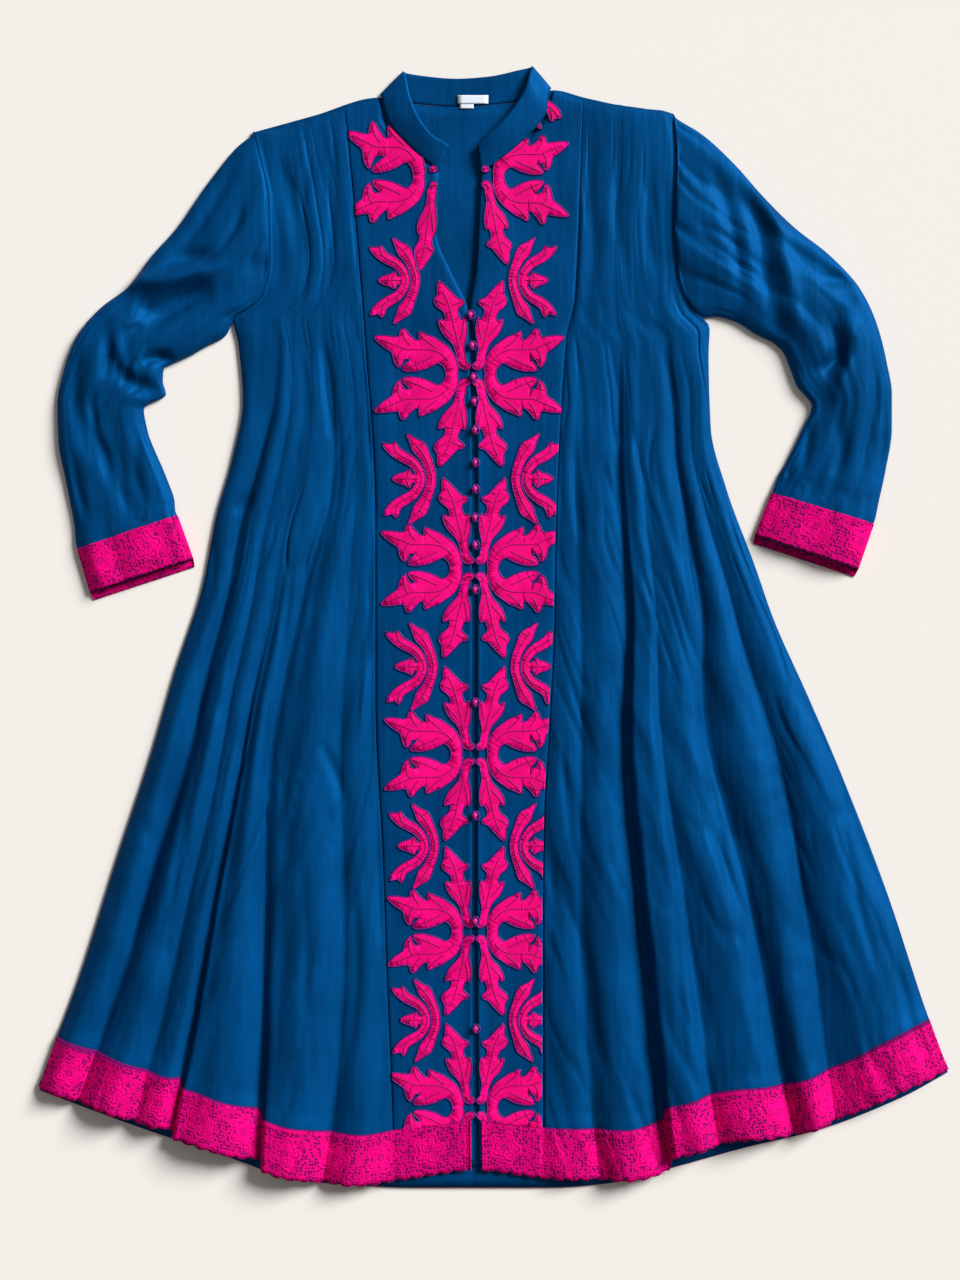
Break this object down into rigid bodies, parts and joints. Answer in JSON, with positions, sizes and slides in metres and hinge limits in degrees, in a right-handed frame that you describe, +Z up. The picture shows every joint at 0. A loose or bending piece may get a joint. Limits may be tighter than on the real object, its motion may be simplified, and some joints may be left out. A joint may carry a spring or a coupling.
{
  "type": "kaftan dress",
  "caption": "Long satin kaftan dress laid flat, with a stand collar, V opening, bent sleeves, applique leaf scrolls down the front and lace at cuffs and hem.",
  "frame": {"origin": "middle of the laid-out dress, on the surface that it lies on", "axes": "+Y to the neck, -Y to the hem, +X to the sleeve at the viewer's right, +Z up from the surface out of the front"},
  "size_m": [0.8627, 1.0639, 0.016],
  "materials": {
    "satin": "soft satin sheen, fine crinkle",
    "lace": "dense floral lace",
    "applique": "matt with dark stitched outline",
    "covered_button": "knotted cord",
    "label": "woven, blank"
  },
  "bodies": {
    "root": {"back_panel": "satin", "button_01": "covered_button", "button_02": "covered_button", "button_03": "covered_button", "button_04": "covered_button", "button_05": "covered_button", "button_06": "covered_button", "button_07": "covered_button", "button_08": "covered_button", "button_09": "covered_button", "button_10": "covered_button", "button_11": "covered_button", "button_12": "covered_button", "button_13": "covered_button", "button_14": "covered_button", "centre_front_left": "satin", "centre_front_right": "satin", "collar_band": "satin", "cuff_lace_left": "lace", "cuff_lace_right": "lace", "hem_lace_back": "lace", "hem_lace_front_left": "lace", "hem_lace_front_right": "lace", "neck_label": "label", "placket_strip": "satin", "scroll_left_1": "applique", "scroll_left_2": "applique", "scroll_left_3": "applique", "scroll_left_4": "applique", "scroll_left_5": "applique", "scroll_left_6": "applique", "scroll_right_1": "applique", "scroll_right_2": "applique", "scroll_right_3": "applique", "scroll_right_4": "applique", "scroll_right_5": "applique", "scroll_right_6": "applique", "side_front_left": "satin", "side_front_right": "satin", "sleeve_left": "satin", "sleeve_right": "satin", "sprig_left_1": "applique", "sprig_left_2": "applique", "sprig_left_3": "applique", "sprig_left_4": "applique", "sprig_left_5": "applique", "sprig_right_1": "applique", "sprig_right_2": "applique", "sprig_right_3": "applique", "sprig_right_4": "applique", "sprig_right_5": "applique"}
  },
  "joints": []
}
